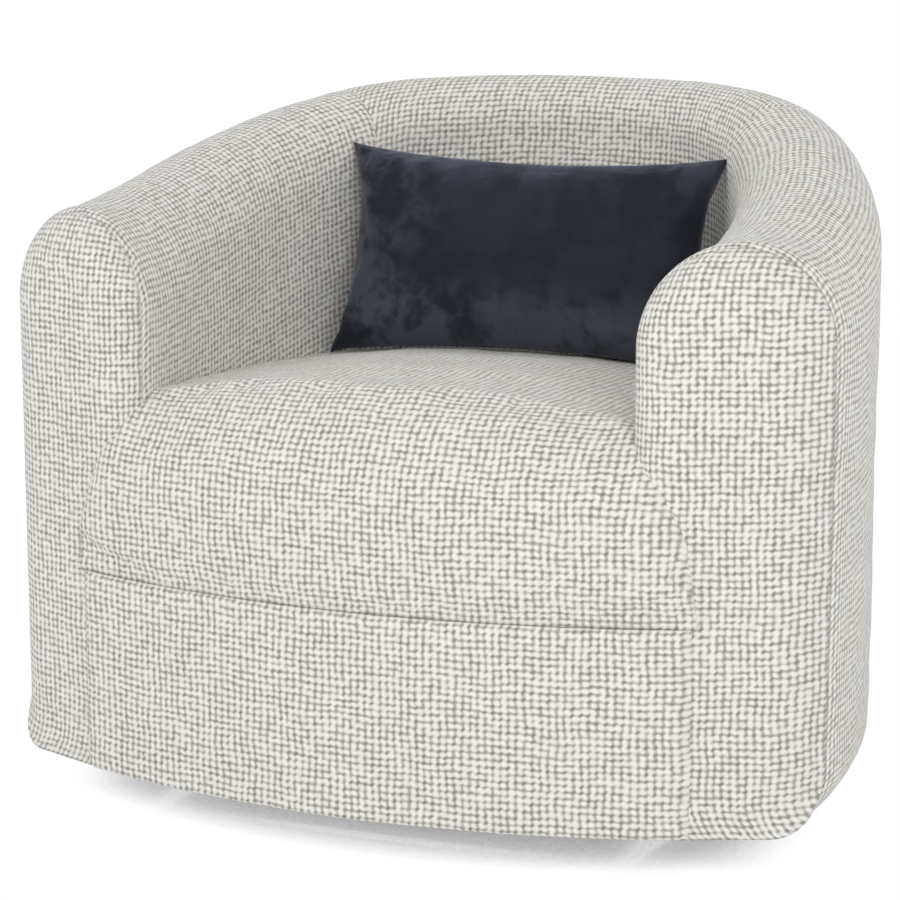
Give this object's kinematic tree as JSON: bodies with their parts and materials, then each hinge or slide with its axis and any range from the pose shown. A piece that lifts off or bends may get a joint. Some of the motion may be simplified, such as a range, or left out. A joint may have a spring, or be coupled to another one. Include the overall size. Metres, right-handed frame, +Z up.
{
  "type": "swivel rocker armchair",
  "caption": "Barrel-backed upholstered armchair on a low ring base that swivels and rocks, with a loose lumbar pillow.",
  "frame": {"origin": "on the floor under the swivel axis, at the centre of the chair's box", "axes": "+Z up along the swivel axis, -Y the way the sitter faces, +X to the sitter's left"},
  "size_m": [0.9032, 0.816, 0.724],
  "materials": {
    "black_steel": "satin",
    "zinc_steel": "satin",
    "spring_steel": "satin",
    "nylon": "matte",
    "black_plastic": "matte",
    "rubber": "matte",
    "hardwood": "matte",
    "plywood": "matte",
    "foam": "matte",
    "fibre_fill": "matte",
    "tweed": "matte",
    "velvet": "satin",
    "black_cloth": "matte",
    "burlap": "matte"
  },
  "bodies": {
    "base": {"floor_ring": "black_steel", "floor_glides": "nylon", "spider_arms": "black_steel", "hub_plate": "black_steel", "lower_race": "zinc_steel", "king_bolt": "zinc_steel", "thrust_washer": "zinc_steel", "king_nut": "zinc_steel"},
    "bearing": {"ball_cage": "black_plastic", "bearing_balls": "zinc_steel"},
    "turntable": {"upper_race": "zinc_steel", "turntable_plate": "black_steel", "pivot_cheeks": "black_steel", "cheek_rivets": "zinc_steel", "rocker_axle": "zinc_steel", "axle_rings": "zinc_steel", "lower_spring_cups": "black_steel", "bump_stops": "rubber", "front_rocker_springs": "spring_steel", "back_rocker_springs": "spring_steel"},
    "seat": {"upper_spring_cups": "black_steel", "rocker_bushes": "nylon", "rocker_hangers": "black_steel", "rocker_bars": "black_steel", "mech_bolts": "zinc_steel", "mech_nuts": "zinc_steel", "cross_rails": "hardwood", "front_board": "hardwood", "back_board": "hardwood", "left_side_board": "hardwood", "right_side_board": "hardwood", "corner_blocks": "hardwood", "arm_bolts": "zinc_steel", "arm_posts": "plywood", "arm_bottom_rails": "plywood", "arm_top_rails": "plywood", "arm_slats": "plywood", "back_bottom_rail": "plywood", "back_top_rail": "plywood", "back_slats": "plywood", "seat_springs": "spring_steel", "spring_clips": "zinc_steel", "deck_cloth": "burlap", "dust_cover": "black_cloth", "left_arm_foam": "foam", "right_arm_foam": "foam", "back_foam": "foam", "front_rail_foam": "foam", "seat_foam": "foam", "left_arm_cover": "tweed", "right_arm_cover": "tweed", "left_arm_front_panel": "tweed", "right_arm_front_panel": "tweed", "back_cover": "tweed", "front_rail_cover": "tweed", "seat_cover": "tweed"},
    "pillow": {"pillow_front_panel": "velvet", "pillow_back_panel": "velvet", "pillow_insert": "fibre_fill"}
  },
  "joints": [
    {"name": "swivel_turn", "type": "hinge", "parent": "base", "child": "turntable", "pos_m": [0, 0, 0], "axis": [0, 0, 1], "continuous": true},
    {"name": "cage_turn", "type": "hinge", "parent": "base", "child": "bearing", "pos_m": [0, 0, 0], "axis": [0, 0, 1], "continuous": true},
    {"name": "rock", "type": "hinge", "parent": "turntable", "child": "seat", "pos_m": [0, 0, 0.098], "axis": [1, 0, 0], "range_deg": [-5, 4], "stiffness_Nm_per_rad": 900, "deforming": ["front_rocker_springs", "back_rocker_springs"]},
    {"name": "pillow_lift", "type": "slide", "parent": "seat", "child": "pillow", "axis": [0, 0, 1], "range_m": [0, 0.35]}
  ],
  "couplings": [
    {"joint": "cage_turn", "follows": "swivel_turn", "ratio": 0.5}
  ]
}
